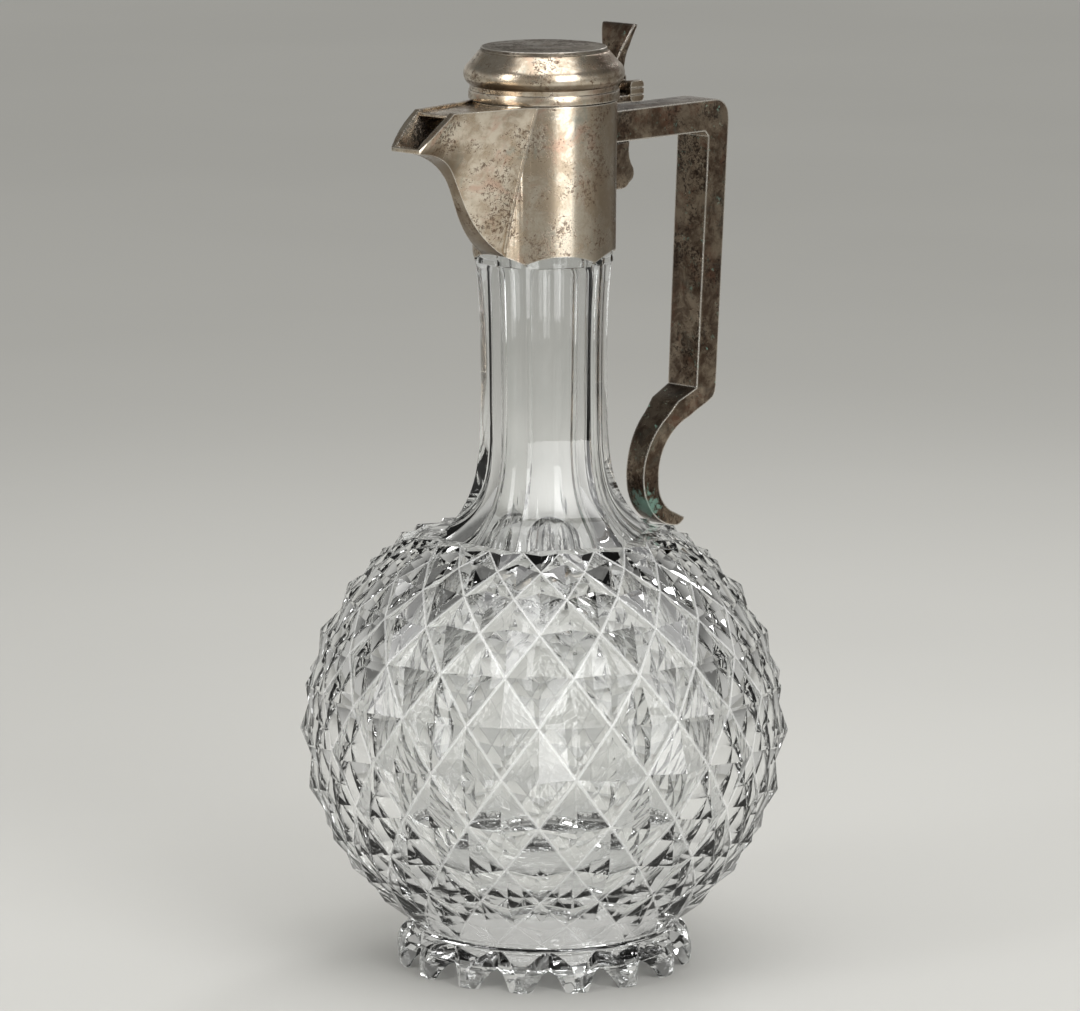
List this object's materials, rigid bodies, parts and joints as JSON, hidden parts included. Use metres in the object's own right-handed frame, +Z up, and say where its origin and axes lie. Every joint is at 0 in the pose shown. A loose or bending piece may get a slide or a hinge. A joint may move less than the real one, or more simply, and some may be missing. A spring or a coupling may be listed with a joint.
{
  "type": "claret jug",
  "caption": "Cut-glass claret jug: round bulb with diamond cutting and a petalled foot, panelled neck, metal collar with beak, squared handle and hinged domed lid.",
  "frame": {"origin": "on the jug's axis at table level, in the middle of the footprint", "axes": "+Z up along the axis of bulb, neck and collar; -X towards the beak, +X towards the handle; Y along the hinge pin"},
  "size_m": [0.1334, 0.1334, 0.2579],
  "materials": {
    "cut_glass": "polished clear lead crystal with cut diamonds",
    "plaster": "matt bedding plaster, hidden inside the collar",
    "plate_bright": "silver plate, worn and warmly tarnished with brown speckles",
    "plate_dark": "silver plate, heavily tarnished, bright on the edges",
    "pin_steel": "plain drawn pin"
  },
  "bodies": {
    "jug": {"glass_vessel": "cut_glass", "plaster_bed": "plaster", "collar_sleeve": "plate_bright", "mouth_rim": "plate_bright", "beak_shell": "plate_bright", "beak_cover": "plate_bright", "collar_hinge_leaf": "plate_dark", "hinge_pin": "pin_steel", "pin_heads": "plate_dark", "handle_arm": "plate_dark", "handle_grip": "plate_dark", "handle_scroll": "plate_dark", "handle_drop": "plate_dark"},
    "lid": {"lid_band": "plate_bright", "lid_cover": "plate_bright", "lid_top_disc": "plate_dark", "lid_bezel": "plate_bright", "lid_underplate": "plate_bright", "thumbpiece": "plate_dark", "lid_hinge_leaf": "plate_dark"}
  },
  "joints": [
    {"name": "lid_hinge", "type": "hinge", "parent": "jug", "child": "lid", "pos_m": [0.026, 0, 0.2402], "axis": [0, 1, 0], "range_deg": [0, 90]}
  ]
}
